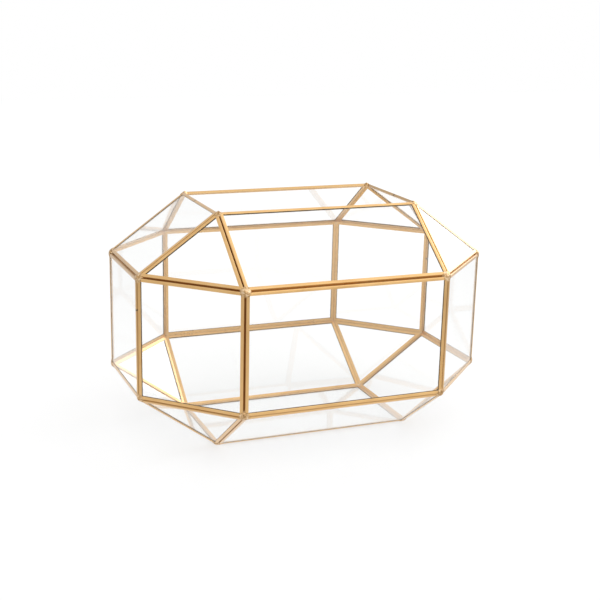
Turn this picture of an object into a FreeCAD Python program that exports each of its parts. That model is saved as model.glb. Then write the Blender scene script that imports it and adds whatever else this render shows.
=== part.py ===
"""Open-topped geometric card box.

Twenty-five flat glass panes, each edged by its own folded brass channel, stand edge to
edge in the shape of a long rhombicuboctahedron: a rectangular base, eight upright walls,
sloped shoulders and skirts with a triangle at each corner, and an open rectangular mouth.
Neighbouring channels meet along their inner folds and are soldered only where corners meet.

Frame: +X along the length, +Y towards the back, +Z up, origin under the middle of the base.
All lengths are millimetres.
"""
import FreeCAD, Part
import math
import os
import Sketcher

V = FreeCAD.Vector
doc = FreeCAD.newDocument("CardBox")

# Driving dimensions
SIZES = {
    "mouth_length": 190.0,
    "mouth_width": 102.0,
    "shoulder_run": 73.0,
    "shoulder_rise": 53.0,
    "wall_height": 111.5,
    "skirt_rise": 52.5,
    "glass_thickness": 2.0,
    "glass_play": 0.05,
    "glass_edge_play": 0.25,
    "channel_wall": 0.3,
    "channel_face": 2.9,
    "channel_round": 0.4,
    "seam_gap": 0.1,
    "butt_gap": 0.4,
    "butt_offset": 9.5,
    "wall_butt_drop": 30.0,
    "solder_spread": 3.4,
    "solder_height": 1.2,
    "mouth_solder_spread": 2.6,
    "mouth_solder_height": 1.0,
}

sheet = doc.addObject("Spreadsheet::Sheet", "Sizes")
for row, (alias, value) in enumerate(SIZES.items(), start=1):
    sheet.set(f"A{row}", alias)
    sheet.set(f"B{row}", str(value))
    sheet.setAlias(f"B{row}", alias)
doc.recompute()

# Lengths and angles that follow from the driving dimensions
derived = doc.addObject("App::VarSet", "Derived")


def derive(kind, name, formula):
    derived.addProperty(f"App::Property{kind}", name)
    derived.setExpression(name, formula)


def derive_slope(prefix, rise):
    """Slant and tilt of the sloped panes and corner triangles that climb by one rise."""
    run = "Sizes.shoulder_run"
    derive("Length", f"{prefix}_slant", f"sqrt({run} ^ 2 + {rise} ^ 2)")
    derive("Angle", f"{prefix}_tilt", f"atan({rise} / {run})")
    derive("Length", f"{prefix}_corner_slant", f"sqrt({run} ^ 2 / 2 + {rise} ^ 2)")
    derive("Angle", f"{prefix}_corner_tilt", f"atan({rise} * sqrt(2) / {run})")


def derive_setback(name, turn):
    """How far a channel stands back from a corner line, so that neighbours meet at their inner folds."""
    half = f"(({turn}) / 2)"
    gap = f"Sizes.seam_gap * 1 mm / (2 * cos({half}))"
    derive("Length", name, f"Derived.channel_depth * tan({half}) + {gap}")


def corner_turn(prefix):
    """Angle between a sloped pane and the triangle beside it."""
    slope = f"Derived.{prefix}_tilt"
    corner = f"Derived.{prefix}_corner_tilt"
    return f"acos(sin({slope}) * sin({corner}) / sqrt(2) + cos({slope}) * cos({corner}))"


def derive_ball(prefix, spread, height):
    """Ball whose cap has a given spread and height where it breaks through a flat face."""
    derive("Length", f"{prefix}_radius", f"({spread} ^ 2 + {height} ^ 2) / (2 * {height})")
    derive("Length", f"{prefix}_depth", f"Derived.{prefix}_radius - {height} * 1 mm")


derive("Length", "corner_edge", "Sizes.shoulder_run * sqrt(2)")
derive("Length", "groove_depth", "Sizes.glass_thickness + 2 * Sizes.glass_play")
derive("Length", "channel_depth", "Derived.groove_depth + 2 * Sizes.channel_wall * 1 mm")
derive_slope("shoulder", "Sizes.shoulder_rise")
derive_slope("skirt", "Sizes.skirt_rise")
derive_setback("wall_wall", "45 deg")
derive_setback("base_skirt", "Derived.skirt_tilt")
for slope in ("shoulder", "skirt"):
    derive_setback(f"wall_{slope}", f"90 deg - Derived.{slope}_tilt")
    derive_setback(f"wall_{slope}_corner", f"90 deg - Derived.{slope}_corner_tilt")
    derive_setback(f"{slope}_corner", corner_turn(slope))
# The shoulders stop short of the mouth's corner points, so that their inner corners clear each other
reach_in = "Derived.channel_depth * sin(Derived.shoulder_tilt) + Sizes.seam_gap * 1 mm"
derive("Length", "mouth_drop",
       f"({reach_in} - Derived.shoulder_corner) / cos(Derived.shoulder_tilt)")
derive_ball("ball", "Sizes.solder_spread", "Sizes.solder_height")
derive_ball("mouth_ball", "Sizes.mouth_solder_spread", "Sizes.mouth_solder_height")
doc.recompute()

# Depths below the outer face of a pane, and insets from the outline of its channel
GLASS_TOP = "Sizes.channel_wall + Sizes.glass_play"
GLASS_INSET = "(Sizes.channel_wall + Sizes.glass_edge_play) * 1 mm"
GROOVE_INSET = "Sizes.channel_wall * 1 mm"
WINDOW_INSET = "Sizes.channel_face * 1 mm"
NO_INSET = "0 mm"

# A slit passes both edges of the channel's face by half the width of the face
SLIT_LENGTH = "2 * Sizes.channel_face"
SLIT_INSET = "1.5 * Sizes.channel_face * 1 mm"

# Rough size that a sketch is first drawn at, before its measures take over
DRAFT_WIDTH = SIZES["mouth_width"]
DRAFT_HEIGHT = SIZES["shoulder_rise"]
DRAFT_LOW = SIZES["channel_face"]
DRAFT_LEFT = V(-DRAFT_WIDTH / 2, DRAFT_LOW, 0)
DRAFT_RIGHT = V(DRAFT_WIDTH / 2, DRAFT_LOW, 0)
DRAFT_RISE = V(0, DRAFT_HEIGHT, 0)
DRAFT_BOX = [DRAFT_LEFT, DRAFT_RIGHT, DRAFT_RIGHT + DRAFT_RISE, DRAFT_LEFT + DRAFT_RISE]
DRAFT_POINT = [DRAFT_LEFT, DRAFT_RIGHT, (DRAFT_LEFT + DRAFT_RIGHT) / 2 + DRAFT_RISE]


class Rectangle:
    """Four-sided pane: local X along its low edge, local Y up the pane, local Z outward."""

    def __init__(self, width, slant, side, low, high):
        self.width = width
        self.slant = slant
        self.side = side
        self.low = low
        self.high = high

    def measures(self, inset):
        width = f"{self.width} - 2 * ({self.side} + {inset})"
        height = f"{self.slant} - {self.low} - {self.high} - 2 * {inset}"
        return width, height, f"{self.low} + {inset}"

    def draw(self, sketch, inset):
        add_loop(sketch, DRAFT_BOX)
        constrain(sketch, "Vertical", 1)
        constrain(sketch, "Horizontal", 2)
        constrain(sketch, "Vertical", 3)
        bind_measures(sketch, self.measures(inset))


class Triangle:
    """Three-sided corner pane with its point on the local Y axis."""

    def __init__(self, slant, side, low):
        self.width = "Derived.corner_edge"
        self.slant = slant
        self.side = side
        self.low = low

    def measures(self, inset):
        leg = f"sqrt({self.slant} ^ 2 + {self.width} ^ 2 / 4)"
        drop = f"({self.side} + {inset}) * 2 * {leg} / {self.width}"
        height = f"({self.slant} - {drop} - {self.low} - {inset})"
        return f"{height} * {self.width} / {self.slant}", height, f"{self.low} + {inset}"

    def draw(self, sketch, inset):
        add_loop(sketch, DRAFT_POINT)
        constrain(sketch, "PointOnObject", 1, 2, -2)
        bind_measures(sketch, self.measures(inset))


def constrain(sketch, *definition):
    return sketch.addConstraint(Sketcher.Constraint(*definition))


def bind(sketch, name, formula, *definition):
    index = constrain(sketch, *definition)
    sketch.renameConstraint(index, name)
    sketch.setExpression(f"Constraints.{name}", formula)


def add_sides(sketch, corners):
    """Closed loop of lines from corner to corner."""
    count = len(corners)
    for index, corner in enumerate(corners):
        sketch.addGeometry(Part.LineSegment(corner, corners[(index + 1) % count]), False)
    for index in range(count):
        constrain(sketch, "Coincident", index, 2, (index + 1) % count, 1)


def add_loop(sketch, corners):
    """Closed loop whose first line is level and centred on the vertical axis."""
    add_sides(sketch, corners)
    constrain(sketch, "Symmetric", 0, 1, 0, 2, -2)


def bind_measures(sketch, measures):
    width, height, low = measures
    bind(sketch, "width", width, "DistanceX", 0, 1, 0, 2, DRAFT_WIDTH)
    bind(sketch, "height", height, "DistanceY", 1, 1, 1, 2, DRAFT_HEIGHT)
    bind(sketch, "low", low, "DistanceY", -1, 1, 0, 1, DRAFT_LOW)


def add_sketch(body, name, depth):
    """Sketch parallel to the pane, at a depth below its outer face."""
    sketch = body.newObject("Sketcher::SketchObject", name)
    planes = body.Origin.OriginFeatures
    face = next(plane for plane in planes if plane.Role == "XY_Plane")
    sketch.AttachmentSupport = [(face, "")]
    sketch.MapMode = "FlatFace"
    sketch.setExpression("AttachmentOffset.Base.z", f"-({depth})")
    return sketch


def add_body(label, placement):
    body = doc.addObject("PartDesign::Body", label)
    body.Label = label
    body.setExpression("Placement", placement)
    return body


def add_plate(body, outline, inset, depth, thickness):
    """Flat plate of a pane's outline, from a depth below the outer face inward."""
    sketch = add_sketch(body, f"{body.Label}_outline", depth)
    outline.draw(sketch, inset)
    plate = body.newObject("PartDesign::Pad", f"{body.Label}_plate")
    plate.Profile = sketch
    plate.setExpression("Length", thickness)
    plate.Reversed = True
    doc.recompute()
    return plate


def cut_pocket(body, name, sketch, thickness=None):
    """Cut a sketched outline inward, right through unless a thickness is given."""
    before = body.Shape.Volume
    pocket = body.newObject("PartDesign::Pocket", f"{body.Label}_{name}")
    pocket.Profile = sketch
    if thickness is None:
        pocket.Type = "ThroughAll"
    else:
        pocket.setExpression("Length", thickness)
    doc.recompute()
    if not body.Shape.Volume < before:
        raise RuntimeError(f"{pocket.Label} cuts nothing")


def make_glass(label, outline, placement):
    """Cut glass pane, held loosely in the groove of its channel."""
    body = add_body(label, placement)
    add_plate(body, outline, GLASS_INSET, GLASS_TOP, "Sizes.glass_thickness")
    return body


def make_channel(label, outline, placement, cut_butt):
    """Folded brass U-channel that runs round one pane, open towards the glass."""
    body = add_body(label, placement)
    plate = add_plate(body, outline, NO_INSET, "0", "Derived.channel_depth")
    rim = []
    for number, edge in enumerate(plate.Shape.Edges, start=1):
        along = edge.tangentAt(edge.FirstParameter)
        if abs(along.z) < abs(along.x) + abs(along.y):
            rim.append(f"Edge{number}")
    fold = body.newObject("PartDesign::Fillet", f"{label}_fold")
    fold.Base = (plate, rim)
    fold.setExpression("Radius", "min(Sizes.channel_round; 2 * Sizes.channel_wall)")
    doc.recompute()
    window = add_sketch(body, f"{label}_window_outline", "0")
    outline.draw(window, WINDOW_INSET)
    cut_pocket(body, "window", window)
    groove = add_sketch(body, f"{label}_groove_outline", "Sizes.channel_wall")
    outline.draw(groove, GROOVE_INSET)
    cut_pocket(body, "groove", groove, "Derived.groove_depth")
    if cut_butt:
        cut_butt(body, outline)
    return body


def cut_slit(body, left, left_ends, low, across, along):
    """Rectangular slit where the two ends of the bent channel meet."""
    slit = add_sketch(body, f"{body.Label}_butt_outline", "0")
    add_sides(slit, DRAFT_BOX)
    constrain(slit, "Horizontal", 0)
    constrain(slit, "Vertical", 1)
    constrain(slit, "Horizontal", 2)
    constrain(slit, "Vertical", 3)
    bind(slit, "across", across, "DistanceX", 0, 1, 0, 2, DRAFT_WIDTH)
    bind(slit, "along", along, "DistanceY", 1, 1, 1, 2, DRAFT_HEIGHT)
    bind(slit, "left", left, "DistanceX", *left_ends, DRAFT_WIDTH / 2)
    bind(slit, "low", low, "DistanceY", -1, 1, 0, 1, DRAFT_LOW)
    cut_pocket(body, "butt", slit)


def cut_high_butt(body, outline):
    """Butt joint on a channel's high side, left of the middle."""
    left = "Sizes.butt_offset + Sizes.butt_gap / 2"
    low = f"{outline.slant} - {outline.high} - {SLIT_INSET}"
    cut_slit(body, left, (0, 1, -1, 1), low, "Sizes.butt_gap", SLIT_LENGTH)


def cut_side_butt(body, outline):
    """Butt joint on a channel's right-hand side, a set distance below its high edge."""
    left = f"{outline.width} / 2 - {outline.side} - {SLIT_INSET}"
    low = f"{outline.slant} - (Sizes.wall_butt_drop + Sizes.butt_gap / 2) * 1 mm"
    cut_slit(body, left, (-1, 1, 0, 1), low, SLIT_LENGTH, "Sizes.butt_gap")


HALF_LENGTH = "Sizes.mouth_length / 2"
HALF_WIDTH = "Sizes.mouth_width / 2"
RUN = "Sizes.shoulder_run"
RIM_HEIGHT = "(Sizes.skirt_rise + Sizes.wall_height)"

# Compass directions in turn about +Z, from the front: sides and corners by turns
COMPASS = ("front", "front_right", "right", "back_right", "back", "back_left", "left", "front_left")
EIGHTH_TURN = 360 / len(COMPASS)


class Direction:
    """One compass direction: its name, its turn about +Z, and its steps along X and Y."""

    def __init__(self, index):
        self.index = index
        self.name = COMPASS[index % len(COMPASS)]
        self.turn = index * EIGHTH_TURN
        self.step_x = round(math.sin(math.radians(self.turn)))
        self.step_y = -round(math.cos(math.radians(self.turn)))

    def beside(self, hand):
        return Direction(self.index + hand)

    def middle(self, reach):
        """Point a given run outside the mouth's outline, in this direction."""
        x = f"{self.step_x} * ({HALF_LENGTH} + {reach})"
        y = f"{self.step_y} * ({HALF_WIDTH} + {reach})"
        return x, y


SIDES = [Direction(index) for index in range(0, len(COMPASS), 2)]
CORNERS = [side.beside(1) for side in SIDES]


def lean(turn, tilt):
    """Rotation of a pane: tipped about its low edge, then turned to its side of the box."""
    return f"rotation(vector(0; 0; 1); {turn}) * rotation(vector(1; 0; 0); {tilt})"


def hang(turn, tilt):
    """Rotation of a pane that faces down: flipped about its own middle line, then leant."""
    return f"{lean(turn, tilt)} * rotation(vector(0; 1; 0); 180 deg)"


def place(point, height, rotation):
    x, y = point
    return f"placement(vector({x}; {y}; {height}); {rotation})"


# One entry for each pane: its outline and where it stands
panes = {}
for side in SIDES:
    width = "Sizes.mouth_length * 1 mm" if side.step_x == 0 else "Sizes.mouth_width * 1 mm"
    point = side.middle(RUN)
    panes[f"{side.name}_wall"] = (
        Rectangle(width, "Sizes.wall_height * 1 mm", "Derived.wall_wall",
                  "Derived.wall_skirt", "Derived.wall_shoulder"),
        place(point, "Sizes.skirt_rise", lean(side.turn, "90 deg")))
    panes[f"{side.name}_shoulder"] = (
        Rectangle(width, "Derived.shoulder_slant", "Derived.shoulder_corner",
                  "Derived.wall_shoulder", "Derived.mouth_drop"),
        place(point, RIM_HEIGHT, lean(side.turn, "Derived.shoulder_tilt")))
    panes[f"{side.name}_skirt"] = (
        Rectangle(width, "Derived.skirt_slant", "Derived.skirt_corner",
                  "Derived.wall_skirt", "Derived.base_skirt"),
        place(point, "Sizes.skirt_rise", hang(side.turn, "-Derived.skirt_tilt")))
for corner in CORNERS:
    point = corner.middle(f"{RUN} / 2")
    panes[f"{corner.name}_wall"] = (
        Rectangle("Derived.corner_edge", "Sizes.wall_height * 1 mm", "Derived.wall_wall",
                  "Derived.wall_skirt_corner", "Derived.wall_shoulder_corner"),
        place(point, "Sizes.skirt_rise", lean(corner.turn, "90 deg")))
    panes[f"{corner.name}_shoulder"] = (
        Triangle("Derived.shoulder_corner_slant", "Derived.shoulder_corner",
                 "Derived.wall_shoulder_corner"),
        place(point, RIM_HEIGHT, lean(corner.turn, "Derived.shoulder_corner_tilt")))
    panes[f"{corner.name}_skirt"] = (
        Triangle("Derived.skirt_corner_slant", "Derived.skirt_corner",
                 "Derived.wall_skirt_corner"),
        place(point, "Sizes.skirt_rise", hang(corner.turn, "-Derived.skirt_corner_tilt")))
panes["base"] = (
    Rectangle("Sizes.mouth_length * 1 mm", "Sizes.mouth_width * 1 mm", "Derived.base_skirt",
              "Derived.base_skirt", "Derived.base_skirt"),
    place(("0", f"-{HALF_WIDTH}"), "0", hang("0 deg", "0 deg")))

# The ends of a bent channel meet under solder, apart from those of the two box ends
OPEN_BUTTS = {
    "left_shoulder": cut_high_butt,
    "right_shoulder": cut_high_butt,
    "left_wall": cut_side_butt,
    "right_wall": cut_side_butt,
}
pieces = []
for name, (outline, placement) in panes.items():
    pieces.append(make_glass(f"{name}_glass", outline, placement))
    pieces.append(make_channel(f"{name}_channel", outline, placement, OPEN_BUTTS.get(name)))

# Solder joints: a low ball at each meeting of corners, trimmed by the channels that it joins
STOP_DEPTH = ("Derived.ball_depth + 2 * Derived.ball_radius"
              " + Derived.mouth_ball_depth + 2 * Derived.mouth_ball_radius")
stops = {}
for name, (outline, placement) in panes.items():
    stops[name] = add_body(f"{name}_stop", placement)
    add_plate(stops[name], outline, NO_INSET, "0", STOP_DEPTH)

floor_stop = doc.addObject("Part::Box", "floor_stop")
floor_stop.setExpression("Length", "2 * Sizes.mouth_length")
floor_stop.setExpression("Width", "2 * Sizes.mouth_width")
floor_stop.setExpression("Height", STOP_DEPTH)
floor_stop.setExpression(
    "Placement", f"placement(vector(-Sizes.mouth_length; -Sizes.mouth_width; -({STOP_DEPTH})); "
    "rotation(vector(0; 0; 1); 0))")


def solder_joint(name, ball, centre, tools):
    """Ball at a meeting of corners, less everything that the meeting pieces already fill."""
    joint = doc.addObject("Part::Sphere", f"{name}_ball")
    joint.setExpression("Radius", f"Derived.{ball}_radius")
    x, y, z = centre
    joint.setExpression(
        "Placement", f"placement(vector({x}; {y}; {z}); rotation(vector(0; 0; 1); 0))")
    for number, tool in enumerate(tools, start=1):
        trimmed = doc.addObject("Part::Cut", f"{name}_trim_{number}")
        trimmed.Base = joint
        trimmed.Tool = tool
        joint = trimmed
    return joint


def solder_group(label, joints):
    group = doc.addObject("Part::Compound", label)
    group.Label = label
    group.Links = joints
    return group


def rim_joints(slope, rim_name, rim, sink):
    """The eight joints of one rim, two on each long or short wall."""
    ball = "Derived.ball_depth"
    angle = f"Derived.{slope}_tilt"
    height = f"{rim} {sink} {ball} * (1 - sin({angle})) / cos({angle})"
    joints = []
    for side in SIDES:
        for corner in (side.beside(-1), side.beside(1)):
            along_x = corner.step_x - side.step_x
            along_y = corner.step_y - side.step_y
            inset = f"({ball} * (sqrt(2) - 1))"
            x = (f"{side.step_x} * ({HALF_LENGTH} * 1 mm + {RUN} * 1 mm - {ball})"
                 f" + {along_x} * ({HALF_LENGTH} * 1 mm - {inset})")
            y = (f"{side.step_y} * ({HALF_WIDTH} * 1 mm + {RUN} * 1 mm - {ball})"
                 f" + {along_y} * ({HALF_WIDTH} * 1 mm - {inset})")
            tools = []
            for direction in (side, corner):
                tools += [stops[f"{direction.name}_wall"], stops[f"{direction.name}_{slope}"]]
            name = f"{rim_name}_{side.name}_{corner.name}"
            joints.append(solder_joint(name, "ball", (x, y, height), tools))
    return joints


def end_joints(slope, end_name, ball, edge, shift, sink, extra):
    """The four joints at the corners of the mouth or of the base, shifted outward down the slope."""
    depth = f"Derived.{ball}_depth"
    angle = f"Derived.{slope}_tilt"
    corner_angle = f"Derived.{slope}_corner_tilt"
    inset = (f"({depth} * (1 - cos({corner_angle}) / cos({angle}))"
             f" / (sqrt(2) * sin({corner_angle}) - cos({corner_angle}) * tan({angle})))")
    height = (f"{edge} {sink} {shift} * tan({angle})"
              f" {sink} ({depth} - sin({angle}) * {inset}) / cos({angle})")
    joints = []
    for corner in CORNERS:
        x = f"{corner.step_x} * ({HALF_LENGTH} * 1 mm + {shift} - {inset})"
        y = f"{corner.step_y} * ({HALF_WIDTH} * 1 mm + {shift} - {inset})"
        around = (corner, corner.beside(-1), corner.beside(1))
        tools = [stops[f"{direction.name}_{slope}"] for direction in around] + extra
        joints.append(solder_joint(f"{end_name}_{corner.name}", ball, (x, y, height), tools))
    return joints


TOP = "(Sizes.skirt_rise + Sizes.wall_height + Sizes.shoulder_rise) * 1 mm"
MOUTH_SHIFT = "Derived.mouth_drop * cos(Derived.shoulder_tilt)"
BASE_TOOLS = [stops["base"], floor_stop]
pieces.append(solder_group(
    "mouth_solder", end_joints("shoulder", "mouth", "mouth_ball", TOP, MOUTH_SHIFT, "-", [])))
pieces.append(solder_group(
    "upper_rim_solder", rim_joints("shoulder", "upper_rim", f"{RIM_HEIGHT} * 1 mm", "-")))
pieces.append(solder_group(
    "lower_rim_solder", rim_joints("skirt", "lower_rim", "Sizes.skirt_rise * 1 mm", "+")))
pieces.append(solder_group(
    "base_solder", end_joints("skirt", "base", "ball", "0 mm", "0 mm", "+", BASE_TOOLS)))
doc.recompute()

# Nothing is written unless every object is sound
failed = [item.Label for item in doc.Objects if "Invalid" in item.State or "Error" in item.State]
for piece in pieces:
    if piece.Shape.isNull() or not piece.Shape.isValid():
        failed.append(piece.Label)
if failed:
    raise RuntimeError("failed: " + ", ".join(failed))

os.makedirs("parts", exist_ok=True)
for piece in pieces:
    piece.Shape.exportStep(f"parts/{piece.Label}.step")
    print(piece.Label, len(piece.Shape.Solids), round(piece.Shape.Volume, 1))
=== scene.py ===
# %% [markdown]
# # A geometric glass card box
# This lesson dresses an open-topped card box: flat glass panes, each edged in its own folded
# brass channel, with neighbouring channels soldered together at the corners only. The solids
# come packed as a fixed frame, so every piece made here takes its size and place from them.

# %% Load the frame
import math
from collections import namedtuple
import bmesh
import bpy
import numpy as np
from mathutils import Matrix, Vector, noise


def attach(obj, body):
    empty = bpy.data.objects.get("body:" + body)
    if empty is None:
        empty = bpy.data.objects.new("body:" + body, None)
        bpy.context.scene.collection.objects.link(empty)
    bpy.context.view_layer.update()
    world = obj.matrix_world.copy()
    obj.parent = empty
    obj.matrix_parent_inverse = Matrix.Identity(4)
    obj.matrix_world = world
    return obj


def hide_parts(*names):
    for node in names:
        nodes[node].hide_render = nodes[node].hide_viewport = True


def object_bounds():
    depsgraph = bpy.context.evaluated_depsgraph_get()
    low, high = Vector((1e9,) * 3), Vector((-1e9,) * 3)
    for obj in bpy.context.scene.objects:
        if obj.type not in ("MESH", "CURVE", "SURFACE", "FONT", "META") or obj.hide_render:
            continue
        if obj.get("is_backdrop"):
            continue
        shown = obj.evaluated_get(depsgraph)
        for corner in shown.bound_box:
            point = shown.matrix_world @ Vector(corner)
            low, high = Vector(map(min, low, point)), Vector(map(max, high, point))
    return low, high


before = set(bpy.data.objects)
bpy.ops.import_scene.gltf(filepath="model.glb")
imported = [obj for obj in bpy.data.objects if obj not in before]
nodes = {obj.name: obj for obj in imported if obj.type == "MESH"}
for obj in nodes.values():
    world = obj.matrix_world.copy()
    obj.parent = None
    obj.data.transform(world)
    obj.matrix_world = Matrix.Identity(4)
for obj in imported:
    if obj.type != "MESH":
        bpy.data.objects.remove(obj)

cad_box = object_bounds()
MM = 0.001
print("nodes in the frame:", len(nodes))

# %% [markdown]
# ## The camera
# The photograph looks down on the box from the front left, with a slight lean. A camera can be
# aimed with a constraint, but a matrix built from the three view directions also holds the lean,
# and it stays readable: azimuth, height angle, lean and distance are plain numbers.

# %% Camera
VIEW_AZIMUTH = math.radians(-22.377)
VIEW_HEIGHT = math.radians(15.384)
VIEW_LEAN = math.radians(1.381)
VIEW_DISTANCE = 1.1101
VIEW_AIM = Vector((0.0046, 0.0, 0.1159))
LENS = 69.61
SENSOR = 36.0


def view_matrix(azimuth, height, lean, distance, aim):
    """Place of a camera that looks at a point, level apart from a lean about its own axis."""
    back = Vector((math.sin(azimuth) * math.cos(height),
                   -math.cos(azimuth) * math.cos(height), math.sin(height)))
    level = Vector((math.cos(azimuth), math.sin(azimuth), 0.0))
    up = back.cross(level)
    right = math.cos(lean) * level + math.sin(lean) * up
    top = back.cross(right)
    place = aim + back * distance
    turned = Matrix((right, top, back)).transposed().to_4x4()
    return Matrix.Translation(place) @ turned


camera_data = bpy.data.cameras.new("photo_camera")
camera_data.lens = LENS
camera_data.sensor_width = SENSOR
camera = bpy.data.objects.new("photo_camera", camera_data)
camera.matrix_world = view_matrix(VIEW_AZIMUTH, VIEW_HEIGHT, VIEW_LEAN, VIEW_DISTANCE, VIEW_AIM)
scene = bpy.context.scene
scene.collection.objects.link(camera)
scene.camera = camera
scene.view_settings.view_transform = "Standard"
print("camera at", [round(value, 3) for value in camera.matrix_world.translation])

# %% [markdown]
# ## Small helpers for shader nodes
# A finish is a graph of nodes. It could be wired by hand in the node editor, but a script can be
# read and run again. Each helper here adds one kind of node, links what goes into it, and gives
# back the socket that comes out, so that a finish further down reads as a few steps.


# %% Node helpers
def add_node(tree, kind, **settings):
    """New node of a kind, with its settings."""
    node = tree.nodes.new(kind)
    for key, value in settings.items():
        setattr(node, key, value)
    return node


def set_inputs(node, **values):
    """Set sockets by name, with spaces written as underscores."""
    for key, value in values.items():
        node.inputs[key.replace("_", " ")].default_value = value
    return node


def grey(level):
    return (level, level, level, 1.0)


def remap(tree, level, low, high, to_low, to_high):
    """A level stretched from one range to another, and held at its ends."""
    stretch = add_node(tree, "ShaderNodeMapRange")
    set_inputs(stretch, From_Min=low, From_Max=high, To_Min=to_low, To_Max=to_high)
    tree.links.new(level, stretch.inputs["Value"])
    return stretch.outputs["Result"]


def show(tree, shader, kind="ShaderNodeOutputMaterial"):
    """Give a shader to the output of a material or a world."""
    out = add_node(tree, kind)
    tree.links.new(shader, out.inputs["Surface"])


print("a middle grey:", grey(0.5))

# %% [markdown]
# A ray knows how it came: straight from the camera, mirrored by metal, or through glass. Each kind
# could get its own surroundings in a render of its own, but choosing a shader by the kind of ray
# does it in one. The kinds in VIEWED are those whose end is looked at, straight or through a pane.

# %% Ray helpers
VIEWED = ("Is Camera Ray", "Is Transmission Ray")


def any_ray(tree, *kinds):
    """Socket that is 1 for a ray of any of these kinds."""
    path = add_node(tree, "ShaderNodeLightPath")
    found = path.outputs[kinds[0]]
    for kind in kinds[1:]:
        most = add_node(tree, "ShaderNodeMath", operation="MAXIMUM")
        tree.links.new(found, most.inputs[0])
        tree.links.new(path.outputs[kind], most.inputs[1])
        found = most.outputs["Value"]
    return found


def choose(tree, share, first, second):
    """Second shader where the share is 1, and the first elsewhere."""
    mix = add_node(tree, "ShaderNodeMixShader")
    tree.links.new(share, mix.inputs["Fac"])
    tree.links.new(first, mix.inputs[1])
    tree.links.new(second, mix.inputs[2])
    return mix.outputs["Shader"]


print("rays that end in plain white:", VIEWED)

# %% [markdown]
# ## The studio
# The box stands on a white sweep under soft light. White walls all round would make brass look
# flat, so the room that the metal sees is brightest at the front right, as with a wide window beside
# the camera, and dims towards the back left. The camera, and rays that pass through glass, see plain
# white.

# %% World
BRIGHT_SIDE = Vector((0.6, -0.75, -0.1)).normalized()
ROOM_DIM = 0.70
ROOM_BRIGHT = 1.66


def build_world():
    world = bpy.data.worlds.new("white_studio")
    world.use_nodes = True
    tree = world.node_tree
    tree.nodes.clear()
    where = add_node(tree, "ShaderNodeTexCoord")
    facing = add_node(tree, "ShaderNodeVectorMath", operation="DOT_PRODUCT")
    facing.inputs[1].default_value = BRIGHT_SIDE
    tree.links.new(where.outputs["Generated"], facing.inputs[0])
    room = set_inputs(add_node(tree, "ShaderNodeBackground"), Color=grey(1.0))
    level = remap(tree, facing.outputs["Value"], -1.0, 1.0, ROOM_DIM, ROOM_BRIGHT)
    tree.links.new(level, room.inputs["Strength"])
    white = set_inputs(add_node(tree, "ShaderNodeBackground"), Color=grey(1.0), Strength=1.0)
    looked_at = any_ray(tree, *VIEWED)
    shader = choose(tree, looked_at, room.outputs["Background"], white.outputs["Background"])
    show(tree, shader, "ShaderNodeOutputWorld")
    return world


scene.world = build_world()
print("world:", scene.world.name)

# %% [markdown]
# The floor is pale and takes the box's soft shadow. A plain white floor would need so much light
# that the brass would burn out. So most of the white that is looked at is given off by the surface
# and the rest is lit: the floor runs into the white behind it and still darkens under the box.
# Glossy rays see a painted pool of glow on the floor that dims away from the box, so upright strips,
# which mirror only the floor, are darker than level ones, and darker towards the top.

# %% Floor finish
FLOOR_GLOW = 0.71
FLOOR_LIT = 0.26
FLOOR_ALBEDO = 0.80
POOL_NEAR = 0.30
POOL_FAR = 0.75
POOL_BRIGHT = 0.98
POOL_DIM = 0.72


def new_material(name):
    """Material with an empty graph of nodes."""
    material = bpy.data.materials.new(name)
    material.use_nodes = True
    material.node_tree.nodes.clear()
    return material


def floor_finish():
    material = new_material("white_sweep")
    tree = material.node_tree
    lit = set_inputs(add_node(tree, "ShaderNodeBsdfDiffuse"), Color=grey(FLOOR_LIT))
    glow = set_inputs(add_node(tree, "ShaderNodeEmission"), Color=grey(1.0), Strength=FLOOR_GLOW)
    white = add_node(tree, "ShaderNodeAddShader")
    tree.links.new(lit.outputs["BSDF"], white.inputs[0])
    tree.links.new(glow.outputs["Emission"], white.inputs[1])
    away = add_node(tree, "ShaderNodeVectorMath", operation="LENGTH")
    tree.links.new(add_node(tree, "ShaderNodeTexCoord").outputs["Object"], away.inputs[0])
    # painted pool of light: glow seen only by glossy rays, brightest near the box
    pool = remap(tree, away.outputs["Value"], POOL_NEAR, POOL_FAR, POOL_BRIGHT, POOL_DIM)
    pool_glow = set_inputs(add_node(tree, "ShaderNodeEmission"), Color=grey(1.0))
    tree.links.new(pool, pool_glow.inputs["Strength"])
    bounced = set_inputs(add_node(tree, "ShaderNodeBsdfDiffuse"), Color=grey(FLOOR_ALBEDO))
    in_metal = any_ray(tree, "Is Glossy Ray")
    unseen = choose(tree, in_metal, bounced.outputs["BSDF"], pool_glow.outputs["Emission"])
    looked_at = any_ray(tree, *VIEWED)
    show(tree, choose(tree, looked_at, unseen, white.outputs["Shader"]))
    return material


sweep = floor_finish()
print("finish:", sweep.name)

# %% [markdown]
# A sweep of paper curves up behind the object. That curve could be modelled, but the world is as
# white as the far end of the floor, so one large flat square shows no line either.

# %% Floor
FLOOR_SIZE = 6.0


def build_floor():
    mesh = bpy.data.meshes.new("floor")
    half = FLOOR_SIZE / 2
    corners = [(-half, -half, 0), (half, -half, 0), (half, half, 0), (-half, half, 0)]
    mesh.from_pydata(corners, [], [(0, 1, 2, 3)])
    mesh.materials.append(sweep)
    floor = bpy.data.objects.new("floor", mesh)
    scene.collection.objects.link(floor)
    floor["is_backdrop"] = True
    return floor


floor = build_floor()
print("floor:", floor.name, FLOOR_SIZE, "m across")

# %% [markdown]
# One large soft lamp does the rest. A small one would leave hard glints and hard shadows. It stands
# to the right, behind the box and above it, where the slanted strips on the right mirror it towards
# the camera.

# %% Lamp
LAMP_PLACE = Vector((1.25, 0.56, 0.97))
LAMP_SIZE = 1.2
LAMP_POWER = 8.0
BOX_MIDDLE = (Vector(cad_box[0]) + Vector(cad_box[1])) / 2


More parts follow.
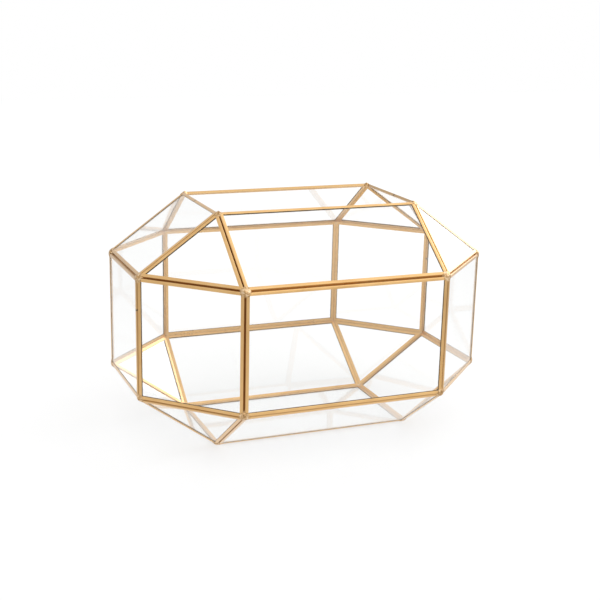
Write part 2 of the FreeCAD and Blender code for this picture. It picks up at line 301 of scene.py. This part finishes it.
def build_lamp():
    data = bpy.data.lights.new("key_lamp", "AREA")
    data.shape = "DISK"
    data.size = LAMP_SIZE
    data.energy = LAMP_POWER
    lamp = bpy.data.objects.new("key_lamp", data)
    lamp.location = LAMP_PLACE
    away = LAMP_PLACE - BOX_MIDDLE
    lamp.rotation_euler = away.to_track_quat("Z", "Y").to_euler()
    scene.collection.objects.link(lamp)
    return lamp


key_lamp = build_lamp()
print("lamp:", key_lamp.name, key_lamp.data.energy, "W")

# %% [markdown]
# ## Reading a flat piece
# Every pane and channel is flat, so a plane and an outline fully describe its solid. Their sizes
# could be typed in here again, but would have to be kept in step by hand, so they are read from the
# solids. The outline is the convex hull of the points laid on the plane. Points at which it hardly
# turns are left out, because they lie along a side or round a corner.

# %% Outline of laid points
DIGITS = 6
STRAIGHT = 1e-9
LEAST_BEND = 0.2


def turn(a, b, c):
    """Positive where the path through three points turns left at b."""
    return (b[0] - a[0]) * (c[1] - a[1]) - (b[1] - a[1]) * (c[0] - a[0])


def bend(a, b, c):
    """Angle by which the outline turns at b."""
    before = Vector((b[0] - a[0], b[1] - a[1]))
    after = Vector((c[0] - b[0], c[1] - b[1]))
    return before.angle(after)


def half_hull(points):
    """One half of the hull of points in order, without its last point."""
    chain = []
    for point in points:
        while len(chain) > 1 and turn(chain[-2], chain[-1], point) <= STRAIGHT:
            chain.pop()
        chain.append(point)
    return chain[:-1]


def hull_corners(laid):
    """Corners of the convex hull, anticlockwise, without points along its sides."""
    order = sorted({(round(x, DIGITS), round(y, DIGITS)) for x, y in laid})
    hull = half_hull(order) + half_hull(order[::-1])
    corners = []
    for before, point, after in zip(hull[-1:] + hull[:-1], hull, hull[1:] + hull[:1]):
        if bend(before, point, after) > LEAST_BEND:
            corners.append(Vector(point))
    return corners


square = [(0.0, 0.0), (0.5, 0.0), (1.0, 0.0), (1.0, 1.0), (0.0, 1.0)]
print("corners of a square with a point along one side:", len(hull_corners(square)))

# %% [markdown]
# The plane's normal could be taken from one face of the solid, but which face is the outer one
# would have to be known. The direction in which all the points spread least needs no such choice,
# and it is turned to point away from the middle of the box.

# %% Plane of a solid
LEVEL_PLANE = 0.1


def level_direction(normal):
    """Level direction in a plane, or the box's length where the plane itself is level."""
    across = np.cross([0.0, 0.0, 1.0], normal)
    if np.linalg.norm(across) < LEVEL_PLANE:
        across = np.array([1.0, 0.0, 0.0])
    return Vector(across / np.linalg.norm(across))


class FlatPiece:
    """Outer plane of a flat solid, its points laid on that plane, and the corners of its outline."""

    def __init__(self, node):
        mesh = nodes[node].data
        points = np.empty(len(mesh.vertices) * 3)
        mesh.vertices.foreach_get("co", points)
        points = points.reshape(-1, 3)
        centre = points.mean(axis=0)
        normal = np.linalg.svd(points - centre)[2][2]
        if normal @ (centre - np.array(BOX_MIDDLE)) < 0:
            normal = -normal
        depths = points @ normal
        self.normal = Vector(normal)
        self.level = depths.max()
        self.thickness = depths.max() - depths.min()
        self.below = self.level - depths
        self.across = level_direction(normal)
        self.upward = self.normal.cross(self.across)
        self.laid = np.stack([points @ np.array(self.across), points @ np.array(self.upward)], axis=1)
        self.corners = hull_corners(self.laid)

    def point(self, x, y, below):
        """Point of the box's frame from outline coordinates and a depth below the outer face."""
        return self.across * x + self.upward * y + self.normal * (self.level - below)


channel_nodes = sorted(name for name in nodes if name.endswith("_channel"))
channels = {name: FlatPiece(name) for name in channel_nodes}
for name, piece in list(channels.items())[:3]:
    print(name, len(piece.corners), "corners,", round(piece.thickness / MM, 2), "mm deep")

# %% [markdown]
# ## Where the corners meet
# A joint is a point that three or four panes share. Each channel stands back from it a little, so
# the mean of their corners would lie too deep. The point is found as the one that lies on the outer
# planes of all the channels whose corners gather there.

# %% Joints
GATHER = 5 * MM


class Joint:
    """A point where corners of channels meet, and the channels that meet there."""

    def __init__(self, near, name):
        self.near = near
        self.names = {name}

    def settle(self):
        """Work out the point, and the direction in which the joint faces."""
        planes = [channels[name] for name in sorted(self.names)]
        normals = np.array([plane.normal for plane in planes])
        levels = np.array([plane.level for plane in planes])
        self.point = Vector(np.linalg.lstsq(normals, levels, rcond=None)[0])
        self.normals = [plane.normal for plane in planes]
        self.axis = sum(self.normals, Vector()).normalized()

    def height(self, point):
        """How far a point stands over the faces that meet here."""
        return max(normal.dot(point - self.point) for normal in self.normals)


def find_joints():
    found = []
    for name, piece in channels.items():
        for corner in piece.corners:
            at = piece.point(corner.x, corner.y, 0.0)
            for joint in found:
                if (joint.near - at).length < GATHER:
                    joint.names.add(name)
                    break
            else:
                found.append(Joint(at, name))
    for joint in found:
        joint.settle()
    return found


joints = find_joints()
print("joints:", len(joints))

# %% [markdown]
# ## Brass
# No real finish is even: brass dulls in patches, and solder is mottled. A picture could be laid on
# every strip to show that, but noise that is worked out from the place of a point needs no picture
# and never repeats. Nearly all of a noise lies between NOISE_LOW and NOISE_HIGH.

# %% Noise helpers
NOISE_LOW = 0.3
NOISE_HIGH = 0.7


def noise_level(tree, place, scale, detail=3.0, roughness=0.5):
    """Level of a soft noise, about one half on average."""
    cloud = add_node(tree, "ShaderNodeTexNoise")
    set_inputs(cloud, Scale=scale, Detail=detail, Roughness=roughness)
    tree.links.new(place, cloud.inputs["Vector"])
    return cloud.outputs["Fac"]


def times(tree, first, second):
    product = add_node(tree, "ShaderNodeMath", operation="MULTIPLY")
    tree.links.new(first, product.inputs[0])
    tree.links.new(second, product.inputs[1])
    return product.outputs["Value"]


print("range of a noise:", NOISE_LOW, "to", NOISE_HIGH)

# %% [markdown]
# A level becomes a colour in two ways: a ramp picks a colour along a row of stops, or a mix lays one
# colour over another. The mix node has a set of sockets for each type of data, and the sets share
# their names, so the sockets for colours are picked by number.

# %% Colour helpers
MIX_SHARE = 0
MIX_UNDER = 6
MIX_OVER = 7
MIX_COLOUR = 2


def opaque(colour):
    return (*colour, 1.0)


def tones(tree, level, *stops):
    """Colour picked along a row of stops, each a position and a colour."""
    ramp = add_node(tree, "ShaderNodeValToRGB")
    elements = ramp.color_ramp.elements
    while len(elements) < len(stops):
        elements.new(0.5)
    for element, (position, colour) in zip(elements, stops):
        element.position = position
        element.color = opaque(colour)
    tree.links.new(level, ramp.inputs["Fac"])
    return ramp.outputs["Color"]


def tint_over(tree, share, under, colour):
    """A colour laid over what a socket gives, by a share."""
    mix = add_node(tree, "ShaderNodeMix", data_type="RGBA")
    mix.inputs[MIX_OVER].default_value = opaque(colour)
    tree.links.new(share, mix.inputs[MIX_SHARE])
    tree.links.new(under, mix.inputs[MIX_UNDER])
    return mix.outputs[MIX_COLOUR]


print("an opaque brown:", opaque((0.4, 0.2, 0.1)))

# %% [markdown]
# The channel is thin brass sheet, drawn through a die and folded. One even colour would read as
# paint. Handling leaves soft dull patches. The web in the seams gets painted shade, a darker brass
# for the shade in the V between channels, and the hollow that holds the glass gets near-black painted
# shade, most of all on its inner leg. Beside a joint the solder's tin washes out over the brass. The
# strip's mesh carries a measure for each of these, and the finish reads it.

# %% Brass colour
BRASS = (0.79, 0.49, 0.195)
BRASS_DEEP = (0.70, 0.41, 0.145)
# painted shade: a darker brass that stands in for the shade in the V of each seam
BRASS_SEAM_SHADE = (0.60, 0.37, 0.148)
# painted shade: near-black colour for the hollow inside the channel and the cut ends at slits
SHADE_IN_CHANNEL = (0.06, 0.04, 0.02)
TIN_WASH = (0.78, 0.57, 0.34)
PATCH_DEEP = 0.32
PATCH_CLEAN = 0.60
WASH_SCALE = 420.0
WASH_STARTS = 0.22
WASH_FULL = 0.42


def measure(tree, name):
    """Level that the mesh itself carries."""
    return add_node(tree, "ShaderNodeAttribute", attribute_name=name).outputs["Fac"]


def brass_colour(tree, place, patch):
    tone = tones(tree, patch, (PATCH_DEEP, BRASS_DEEP), (PATCH_CLEAN, BRASS))
    # painted shade: the web is darkened where the V between channels lies in shade
    seam_shaded = tint_over(tree, measure(tree, "web"), tone, BRASS_SEAM_SHADE)
    # painted shade: the hollow and the slit ends are painted nearly black
    shaded = tint_over(tree, measure(tree, "inside"), seam_shaded, SHADE_IN_CHANNEL)
    ragged = times(tree, measure(tree, "near_joint"), noise_level(tree, place, WASH_SCALE))
    wash = remap(tree, ragged, WASH_STARTS, WASH_FULL, 0.0, 1.0)
    return tint_over(tree, wash, shaded, TIN_WASH)


print("brass:", BRASS, "and in dull patches", BRASS_DEEP)

# %% [markdown]
# The die leaves fine lines along the strip. They could be cut into the mesh, but they are far finer
# than its faces, so a noise that is stretched along the strip's own map stands for them. It roughens
# the metal and raises it by a hair.

# %% Drawn lines
LINE_SCALE = (60.0, 6000.0, 1.0)
LINE_ROUGHENS = 0.12
LINE_BUMP = 0.12
LINE_DEPTH = 0.05 * MM


def drawn_lines(tree):
    """Level of the fine lines along a strip."""
    strip = add_node(tree, "ShaderNodeUVMap", uv_map="strip")
    stretch = add_node(tree, "ShaderNodeMapping")
    stretch.inputs["Scale"].default_value = LINE_SCALE
    tree.links.new(strip.outputs["UV"], stretch.inputs["Vector"])
    return noise_level(tree, stretch.outputs["Vector"], 1.0)


def bumped(tree, height, strength, distance):
    """Normal of a surface with a level as its height."""
    bump = set_inputs(add_node(tree, "ShaderNodeBump"), Strength=strength, Distance=distance)
    tree.links.new(height, bump.inputs["Height"])
    return bump.outputs["Normal"]


print("lines: about", LINE_SCALE[1] / LINE_SCALE[0], "times as long as they are wide")

# %% [markdown]
# The finish puts these together. A plain shiny metal would be simpler, but the lines scatter light
# across the strip more than along it, so the map also gives the shader their direction. A clear
# lacquer keeps the brass from tarnishing and whitens its highlights.

# %% Brass finish
PATCH = {"scale": 38.0, "detail": 4.0, "roughness": 0.55}
POLISHED = 0.20
DULLED = 0.36
DRAWN = {"Anisotropic": 0.75, "Anisotropic_Rotation": 0.25}
LACQUER = {"Coat_Weight": 0.9, "Coat_Roughness": 0.2}


def metal(tree, colour, roughness, normal, **settings):
    """Metal shader that takes its colour, roughness and normal from sockets."""
    shader = set_inputs(add_node(tree, "ShaderNodeBsdfPrincipled"), Metallic=1.0, **settings)
    tree.links.new(colour, shader.inputs["Base Color"])
    tree.links.new(roughness, shader.inputs["Roughness"])
    tree.links.new(normal, shader.inputs["Normal"])
    return shader


def brass_finish():
    material = new_material("drawn_brass")
    tree = material.node_tree
    place = add_node(tree, "ShaderNodeTexCoord").outputs["Object"]
    patch = noise_level(tree, place, **PATCH)
    lines = drawn_lines(tree)
    scored = add_node(tree, "ShaderNodeMath", operation="MULTIPLY_ADD")
    scored.inputs[1].default_value = LINE_ROUGHENS
    tree.links.new(lines, scored.inputs[0])
    tree.links.new(remap(tree, patch, NOISE_LOW, NOISE_HIGH, POLISHED, DULLED), scored.inputs[2])
    colour = brass_colour(tree, place, patch)
    normal = bumped(tree, lines, LINE_BUMP, LINE_DEPTH)
    shader = metal(tree, colour, scored.outputs["Value"], normal, **DRAWN, **LACQUER)
    tangent = add_node(tree, "ShaderNodeTangent", direction_type="UV_MAP", uv_map="strip")
    tree.links.new(tangent.outputs["Tangent"], shader.inputs["Tangent"])
    show(tree, shader.outputs["BSDF"])
    return material


brass = brass_finish()
print("finish:", brass.name)

# %% [markdown]
# ## Channels
# Each channel is bent from one strip, notched at the corners so that its flanges meet in mitres.
# A swept curve would round those corners off, so each side is lofted as a bar: a U-shaped section
# carried from mitre to mitre. The flange's width could be typed in, but it is read from the base's
# channel, so that the two can't differ.

# %% Flange width
CLOSE = 0.03 * MM
PAST_FOLD = 1 * MM


def flange_width(piece):
    """Width of a flange: the inset of the nearest row of face points beyond the fold."""
    first, second = (np.array(corner) for corner in piece.corners[:2])
    along = (second - first) / np.linalg.norm(second - first)
    insets = (piece.laid - first) @ np.array([-along[1], along[0]])
    return insets[(piece.below < CLOSE) & (insets > PAST_FOLD)].min()


FLANGE = flange_width(channels["base_channel"])
print("flange:", round(FLANGE / MM, 2), "mm wide")

# %% [markdown]
# A plain U with square corners could stand for the section, but folded sheet has none. The folds are
# round, the flanges are crowned a tenth of a millimetre, as the die leaves them, and the web leans
# out until it touches its neighbour along the inner fold, so that no light shows through the seam.

# %% Channel section
SHEET = 0.3 * MM
OUTER_FOLD = 0.42 * MM
OUTER_CROWN = 0.10 * MM
INNER_FOLD = 0.08 * MM
INNER_CROWN = 0.0
CROWN_STEPS = 4
FOLD_STEPS = 3
WEB_LEAN = 0.13 * MM


def flange_points(fold, crown):
    """Inset and drop of points from a flange's free edge, over its crown and round its fold."""
    middle = (FLANGE + fold) / 2
    half = (FLANGE - fold) / 2
    for step in range(CROWN_STEPS + 1):
        share = 1 - 2 * step / CROWN_STEPS
        yield middle + half * share, crown * share * share
    for step in range(1, FOLD_STEPS + 1):
        angle = math.pi / 2 * step / FOLD_STEPS
        yield fold - fold * math.sin(angle), crown + fold - fold * math.cos(angle)


def channel_section(depth):
    """Closed U section: inset from the outline and depth below the outer face of each point."""
    outer = list(flange_points(OUTER_FOLD, OUTER_CROWN))
    inner = []
    for inset, drop in flange_points(INNER_FOLD, INNER_CROWN):
        lean = WEB_LEAN if inset < INNER_FOLD else 0.0
        inner.append((inset - lean, depth - drop))
    hollow = [(FLANGE, depth - SHEET), (SHEET, depth - SHEET), (SHEET, SHEET), (FLANGE, SHEET)]
    return outer + inner[::-1] + hollow


section_size = len(channel_section(channels["base_channel"].thickness))
print("points in the section:", section_size)

# %% [markdown]
# A bent strip has to close somewhere. Most close in a mitre, but the channels at the two ends of the
# box have their ends butted in the open, with a slit between them. A slit could be cut out of the
# finished bar, but a bar that is built in two lengths has clean ends. The slit's edges are corners
# of the solid that lie on the flange's free edge away from its mitres.

# %% Sides and slits
PAST_MITRE = 1 * MM
RUN_DIGITS = 5


def half_angle(corners, index):
    """Half of the angle inside the outline at a corner."""
    before = corners[index - 1] - corners[index]
    after = corners[(index + 1) % len(corners)] - corners[index]
    return before.angle(after) / 2


class Bar:
    """One side of a channel, from corner to corner of its outline."""

    def __init__(self, piece, index):
        corners = piece.corners
        following = (index + 1) % len(corners)
        self.piece = piece
        self.start = corners[index]
        self.along = (corners[following] - self.start).normalized()
        self.inward = Vector((-self.along.y, self.along.x))
        self.length = (corners[following] - self.start).length
        self.mitre_start = 1 / math.tan(half_angle(corners, index))
        self.mitre_end = 1 / math.tan(half_angle(corners, following))
        self.slits = self.find_slits()

    def find_slits(self):
        """Runs along the bar at which the solid's free edge is cut, in order."""
        offset = self.piece.laid - np.array(self.start)
        runs = offset @ np.array(self.along)
        insets = offset @ np.array(self.inward)
        on_edge = (abs(insets - FLANGE) < CLOSE) & (self.piece.below < CLOSE)
        low = FLANGE * self.mitre_start + PAST_MITRE
        high = self.length - FLANGE * self.mitre_end - PAST_MITRE
        return sorted({round(run, RUN_DIGITS) for run in runs[on_edge] if low < run < high})


bars = {name: [Bar(piece, i) for i in range(len(piece.corners))] for name, piece in channels.items()}
print("butted:", [name for name in channel_nodes if any(bar.slits for bar in bars[name])])

# %% [markdown]
# Each length of a bar is a row of rings, and each ring is the section at one place. Two rings would
# do for a straight bar, but more of them let it waver. Towards a mitre, a point's run depends on its
# inset, and that is what cuts the mitre. The cut ends at a slit get near-black painted shade, like
# the hollow, and a ring a little way in makes that painted shade fade out within a millimetre.

# %% Rings along a bar
MITRE_GAP = 0.05 * MM
STATION = 6 * MM
SLIT_SHADE_FADE = 0.9 * MM
RingPoint = namedtuple("RingPoint", "point run inset below stain")


def ring_at(bar, section, first, last, share):
    """Section points at a share of the length of bar between two cuts."""
    ring = []
    for inset, below in section:
        low = first if first > 0 else inset * bar.mitre_start + MITRE_GAP
        high = last if last < bar.length else last - inset * bar.mitre_end - MITRE_GAP
        run = low + (high - low) * share
        laid = bar.start + bar.along * run + bar.inward * inset
        # painted shade: the cut ends at a slit take the near-black hollow colour
        stain = 1.0 if any(abs(run - slit) < CLOSE for slit in bar.slits) else 0.0
        ring.append(RingPoint(bar.piece.point(laid.x, laid.y, below), run, inset, below, stain))
    return ring


def rings_along(bar):
    """Rings for each length of a bar between its mitres and slits."""
    cuts = [0.0, *bar.slits, bar.length]
    section = channel_section(bar.piece.thickness)
    for first, last in zip(cuts[::2], cuts[1::2]):
        count = max(2, round((last - first) / STATION) + 1)
        faded = SLIT_SHADE_FADE / (last - first)
        shares = [faded, *(number / (count - 1) for number in range(count)), 1 - faded]
        yield [ring_at(bar, section, first, last, share) for share in sorted(shares)]


print("rings in one bar:", [len(rings) for rings in rings_along(bars["base_channel"][0])])

# %% [markdown]
# Hand-folded sheet stands a few hundredths of a millimetre in and out along the bar, and that is what
# breaks up the long reflections. A bump in the finish would not reach the mesh, so the points are
# moved, the outer flange apart from the inner one. The measures for the finish are worked out here
# too. The hollow's shares say how much painted shade the section's last four points get: two on the
# inner leg, two on the outer.

# %% Waves and measures
WAVE = 0.035 * MM
WAVE_LENGTH = 22 * MM
INNER_SEED = Vector((0.0, 0.0, 7.0))
OUTER_SEED = Vector((0.0, 0.0, 19.0))
JOINT_REACH = 9 * MM
WEB_INSET = OUTER_FOLD * 0.3
# painted shade: share of the near-black colour for the section's last four points
SECTION_SHADE_SHARES = (1.0, 1.0, 0.3, 0.3)


def wavy(piece, point, below):
    """A point of the section, moved in and out as hand-folded sheet is."""
    seed = OUTER_SEED if below < piece.thickness / 2 else INNER_SEED
    swell = noise.noise(point / WAVE_LENGTH + seed)
    moved = point + piece.normal * WAVE * swell
    moved.z = max(moved.z, 0.0)
    return moved


def nearest_joint(point):
    return min(joints, key=lambda joint: (joint.point - point).length_squared)


def nearness(point):
    """1 at a joint, falling to 0 at the reach of its tin."""
    apart = (point - nearest_joint(point).point).length
    return max(0.0, 1.0 - apart / JOINT_REACH)


def across_strip(ring):
    """Way round the section from its first point to each of its points."""
    ways = [0.0]
    for one, other in zip(ring, ring[1:]):
        ways.append(ways[-1] + math.hypot(other.inset - one.inset, other.below - one.below))
    return ways


print("waves:", WAVE / MM, "mm high, hollow:", SECTION_SHADE_SHARES)

# %% [markdown]
# The skin of a bar has one face between each two neighbouring points of each two neighbouring rings,
# and a cap at each end. Blender can bridge loops of edges by itself, but counting the points through
# gives the same faces in the same order on every run.


# %% Faces of a bar
def bar_faces(base, size, count):
    """Faces of a number of rings of one size, with their points counted from a base."""
    for row in range(count - 1):
        for place in range(size):
            a = base + row * size + place
            b = base + row * size + (place + 1) % size
            yield a, b, b + size, a + size
    last = base + (count - 1) * size
    yield tuple(range(base + size - 1, base - 1, -1))
    yield tuple(range(last, last + size))


print("faces of two square rings:", list(bar_faces(0, 4, 2)))

# %% [markdown]
# All the bars of a channel go into one mesh, because on the real box they are one strip. They could
# be joined as objects, but a mesh filled point by point also keeps what the finish reads: the map
# along and across the strip, where the web is, where the hollow and the cut ends at slits take
# painted shade, and how near the closest joint is.


# %% Strip meshes
class StripMesh:
    """Gathers the bars of one channel into one mesh with its own map and measures."""

    def __init__(self, piece):
        self.piece = piece
        self.points = []
        self.faces = []
        self.strip = []
        self.measures = {"web": [], "inside": [], "near_joint": []}

    def add_rings(self, rings):
        base = len(self.points)
        size = len(rings[0])
        across = across_strip(rings[0])
        hollow = [0.0] * (size - len(SECTION_SHADE_SHARES)) + [*SECTION_SHADE_SHARES]
        for ring in rings:
            for place, item in enumerate(ring):
                self.points.append(wavy(self.piece, item.point, item.below))
                self.strip.append((item.run, across[place]))
                # painted shade: marks the web for the darker seam colour
                self.measures["web"].append(1.0 if item.inset < WEB_INSET else 0.0)
                # painted shade: the hollow and the slit ends take the near-black colour
                self.measures["inside"].append(max(item.stain, hollow[place]))
                self.measures["near_joint"].append(nearness(item.point))
        self.faces.extend(bar_faces(base, size, len(rings)))

    def build(self, name):
        mesh = bpy.data.meshes.new(name)
        mesh.from_pydata(self.points, [], self.faces)
        layer = mesh.uv_layers.new(name="strip").data
        for loop in mesh.loops:
            layer[loop.index].uv = self.strip[loop.vertex_index]
        for title, values in self.measures.items():
            level = mesh.attributes.new(title, "FLOAT", "POINT")
            level.data.foreach_set("value", values)
        mesh.validate()
        mesh.update()
        return mesh


print("measures of a strip:", list(StripMesh(channels["base_channel"]).measures))

# %% [markdown]
# Every pane has a channel of its own, so 25 of them are built and each takes the place of its solid.
# All the faces could be smooth, but then the folds would look like rubber, so edges that turn more
# than SMOOTH_UNDER stay sharp.

# %% Build the channels
SMOOTH_UNDER = math.radians(40)


def make_channel(node):
    build = StripMesh(channels[node])
    for bar in bars[node]:
        for rings in rings_along(bar):
            build.add_rings(rings)
    mesh = build.build(node.replace("_channel", "_brass"))
    mesh.materials.append(brass)
    mesh.shade_smooth()
    mesh.set_sharp_from_angle(angle=SMOOTH_UNDER)
    channel = bpy.data.objects.new(mesh.name, mesh)
    scene.collection.objects.link(channel)
    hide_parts(node)
    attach(channel, "root")
    return channel


brass_pieces = [make_channel(node) for node in channel_nodes]
print("channels:", len(brass_pieces), "faces:", sum(len(item.data.polygons) for item in brass_pieces))

# %% [markdown]
# ## Solder
# Each joint is a patch of solder, melted over the corners with an iron and left as it set: low,
# lumpy, close to the brass in colour, with tinned spots and specks of burnt flux. It could be a
# plain shiny metal, but the mottling is what makes it read as solder and not as a moulded ball.

# %% Solder finish
FLUX = (0.22, 0.115, 0.045)
SOLDER_DEEP = (0.36, 0.21, 0.09)
SOLDER = (0.64, 0.41, 0.20)
SOLDER_PALE = (0.86, 0.66, 0.44)
SOLDER_TONES = ((0.36, SOLDER_DEEP), (0.50, SOLDER), (0.64, SOLDER_PALE))
MOTTLE = {"scale": 520.0, "detail": 4.0, "roughness": 0.6}
SPECKS = {"scale": 900.0, "detail": 2.0}
SPECK_STARTS = 0.62
SPECK_FULL = 0.70
SPECK_STRENGTH = 0.85
MOTTLE_BUMP = 0.4
MOTTLE_DEPTH = 0.2 * MM
SOLDER_MATT = 0.50
SOLDER_SHINY = 0.30


def solder_finish():
    material = new_material("set_solder")
    tree = material.node_tree
    place = add_node(tree, "ShaderNodeTexCoord").outputs["Object"]
    cloud = noise_level(tree, place, **MOTTLE)
    specks = noise_level(tree, place, **SPECKS)
    burnt = remap(tree, specks, SPECK_STARTS, SPECK_FULL, 0.0, SPECK_STRENGTH)
    colour = tint_over(tree, burnt, tones(tree, cloud, *SOLDER_TONES), FLUX)
    roughness = remap(tree, cloud, NOISE_LOW, NOISE_HIGH, SOLDER_MATT, SOLDER_SHINY)
    normal = bumped(tree, cloud, MOTTLE_BUMP, MOTTLE_DEPTH)
    show(tree, metal(tree, colour, roughness, normal).outputs["BSDF"])
    return material


solder = solder_finish()
print("finish:", solder.name)

# %% [markdown]
# A seam is the V between two neighbouring channels. The seams could be listed by hand, but they
# follow from the joints: two joints that share two channels are the ends of one seam.


# %% Seams
def seams_from(joint):
    """Each seam that starts at a joint: the far joint and the two channels along it."""
    for other in joints:
        shared = sorted(joint.names & other.names)
        if other is not joint and len(shared) == 2:
            yield other, [channels[name] for name in shared]


print("seams:", sum(len(list(seams_from(joint))) for joint in joints) // 2)

# %% [markdown]
# Molten solder runs a few millimetres from the joint into every seam, between the two folds. A
# sculpted drop could stand for it, but the shape of the seam is known: a wedge with its edge where
# the folds touch and its top a little below the faces. Its six corners follow from the two planes,
# and its length varies from seam to seam.

# %% Wedges of solder
WEDGE = 4.3 * MM
WEDGE_VARIES = 2.2 * MM
WEDGE_SPREAD = 3 * MM
WEDGE_BACK = 1.0 * MM
WEDGE_LOW = 0.12 * MM


def add_wedge(bed, joint, other, pair):
    """A wedge of solder that fills the seam between two channels, from a joint outward."""
    along = (other.point - joint.point).normalized()
    out = (pair[0].normal + pair[1].normal).normalized()
    facing = pair[0].normal.dot(out)
    deep = pair[0].thickness / facing
    aside = pair[0].thickness * math.sqrt(1 - facing * facing) / facing
    length = WEDGE + WEDGE_VARIES * noise.noise((joint.point + along * WEDGE) / WEDGE_SPREAD)
    corners = []
    for run in (-WEDGE_BACK, length):
        at = joint.point + along * run
        corners.append(at - out * deep)
        for plane, partner in (pair, pair[::-1]):
            sideways = plane.normal.cross(along).normalized()
            if sideways.dot(partner.normal) > 0:
                sideways = -sideways
            corners.append(at + sideways * aside - plane.normal * WEDGE_LOW)
    bmesh.ops.convex_hull(bed, input=[bed.verts.new(corner) for corner in corners])


print("wedges: about", round(WEDGE / MM, 1), "mm long")

# %% [markdown]
# The trimmed solid gives the solder its bed, and the wedges are laid into it. They could be joined
# face by face with cuts and unions, but melting them into one skin of even voxels is closer to what
# solder does, and it leaves small even faces that can be pushed about.

# %% Solder beds
VOXEL = 0.26 * MM


def solder_bed(node):
    """The node's solid with wedges laid in the seams of its joints."""
    bed = bmesh.new()
    bed.from_mesh(nodes[node].data)
    touched = {nearest_joint(vertex.co) for vertex in bed.verts}
    for joint in joints:
        if joint in touched:
            for other, pair in seams_from(joint):
                add_wedge(bed, joint, other, pair)
    mesh = bpy.data.meshes.new(node + "_bed")
    bed.to_mesh(mesh)
    bed.free()
    return mesh


def remeshed(mesh):
    """The mesh's parts melted into one even skin."""
    melt = bpy.data.objects.new(mesh.name, mesh)
    scene.collection.objects.link(melt)
    modifier = melt.modifiers.new("even", "REMESH")
    modifier.mode = "VOXEL"
    modifier.voxel_size = VOXEL
    depsgraph = bpy.context.evaluated_depsgraph_get()
    skin = bpy.data.meshes.new_from_object(melt.evaluated_get(depsgraph))
    bpy.data.objects.remove(melt)
    bpy.data.meshes.remove(mesh)
    return skin


print("voxels:", VOXEL / MM, "mm")

# %% [markdown]
# Solder that has been wiped with the iron lies almost flush with the faces. A ball would stand out
# like a bead on a string, so the skin is pressed down over its joint, and large and small lumps are
# pushed in and out of it.

# %% Build the solder patches
PRESSED = 0.24
SUNK = 0.15 * MM
LUMP = 0.24 * MM
LUMP_LENGTH = 2.4 * MM
GRAIN = 0.07 * MM
GRAIN_LENGTH = 0.9 * MM


def settled(point, normal):
    """A point of the skin pressed down over its joint, then pushed by a large and a small lump."""
    joint = nearest_joint(point)
    proud = max(0.0, joint.height(point))
    push = LUMP * noise.noise(point / LUMP_LENGTH) + GRAIN * noise.noise(point / GRAIN_LENGTH) - SUNK
    moved = point - joint.axis * proud * (1 - PRESSED) + normal * push
    moved.z = max(moved.z, 0.0)
    return moved


def make_solder(node):
    mesh = remeshed(solder_bed(node))
    mesh.name = node.replace("_solder", "_beads")
    moved = [settled(vertex.co, vertex.normal) for vertex in mesh.vertices]
    for vertex, place in zip(mesh.vertices, moved):
        vertex.co = place
    mesh.materials.clear()
    mesh.materials.append(solder)
    mesh.shade_smooth()
    beads = bpy.data.objects.new(mesh.name, mesh)
    scene.collection.objects.link(beads)
    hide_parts(node)
    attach(beads, "root")
    return beads


solder_nodes = sorted(name for name in nodes if name.endswith("_solder"))
bead_pieces = [make_solder(node) for node in solder_nodes]
print("beads:", [(item.name, len(item.data.polygons)) for item in bead_pieces])

# %% [markdown]
# ## Glass
# The panes are clear float glass, and their solids already have the right shape. A see-through
# surface without refraction would be quicker, but its edges would not shift what lies behind them.
# Glass needs hardly any colour of its own here: it refracts, and reflects a little more at a
# glancing angle. Light from the lamp should pass through without noisy caustics, so shadow rays meet
# a clear surface. A faint film, as fingers leave, roughens it in places.

# %% Glass finish
GLASS_TINT = (0.996, 0.999, 0.997, 1.0)
GLASS_IOR = 1.5
FILM_SCALE = 14.0
FILM_STARTS = 0.5
FILM_FULL = 0.75
FILM_ROUGHNESS = 0.03


def glass_finish():
    material = new_material("clear_pane")
    tree = material.node_tree
    place = add_node(tree, "ShaderNodeTexCoord").outputs["Object"]
    cloud = noise_level(tree, place, FILM_SCALE)
    film = remap(tree, cloud, FILM_STARTS, FILM_FULL, 0.0, FILM_ROUGHNESS)
    shader = add_node(tree, "ShaderNodeBsdfPrincipled")
    set_inputs(shader, Base_Color=GLASS_TINT, Transmission_Weight=1.0, IOR=GLASS_IOR)
    tree.links.new(film, shader.inputs["Roughness"])
    clear = set_inputs(add_node(tree, "ShaderNodeBsdfTransparent"), Color=GLASS_TINT)
    in_shadow = any_ray(tree, "Is Shadow Ray")
    show(tree, choose(tree, in_shadow, shader.outputs["BSDF"], clear.outputs["BSDF"]))
    return material


glass = glass_finish()
glass_nodes = sorted(name for name in nodes if name.endswith("_glass"))
for name in glass_nodes:
    pane = nodes[name].data
    pane.materials.clear()
    pane.materials.append(glass)
print("panes:", len(glass_nodes))

# %% [markdown]
# ## Sizes
# The dressed box has to stay the size of its solids.

# %% Sizes
boxes = {"cad": cad_box, "visual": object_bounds()}
{key: [list(corner) for corner in box] for key, box in boxes.items()}
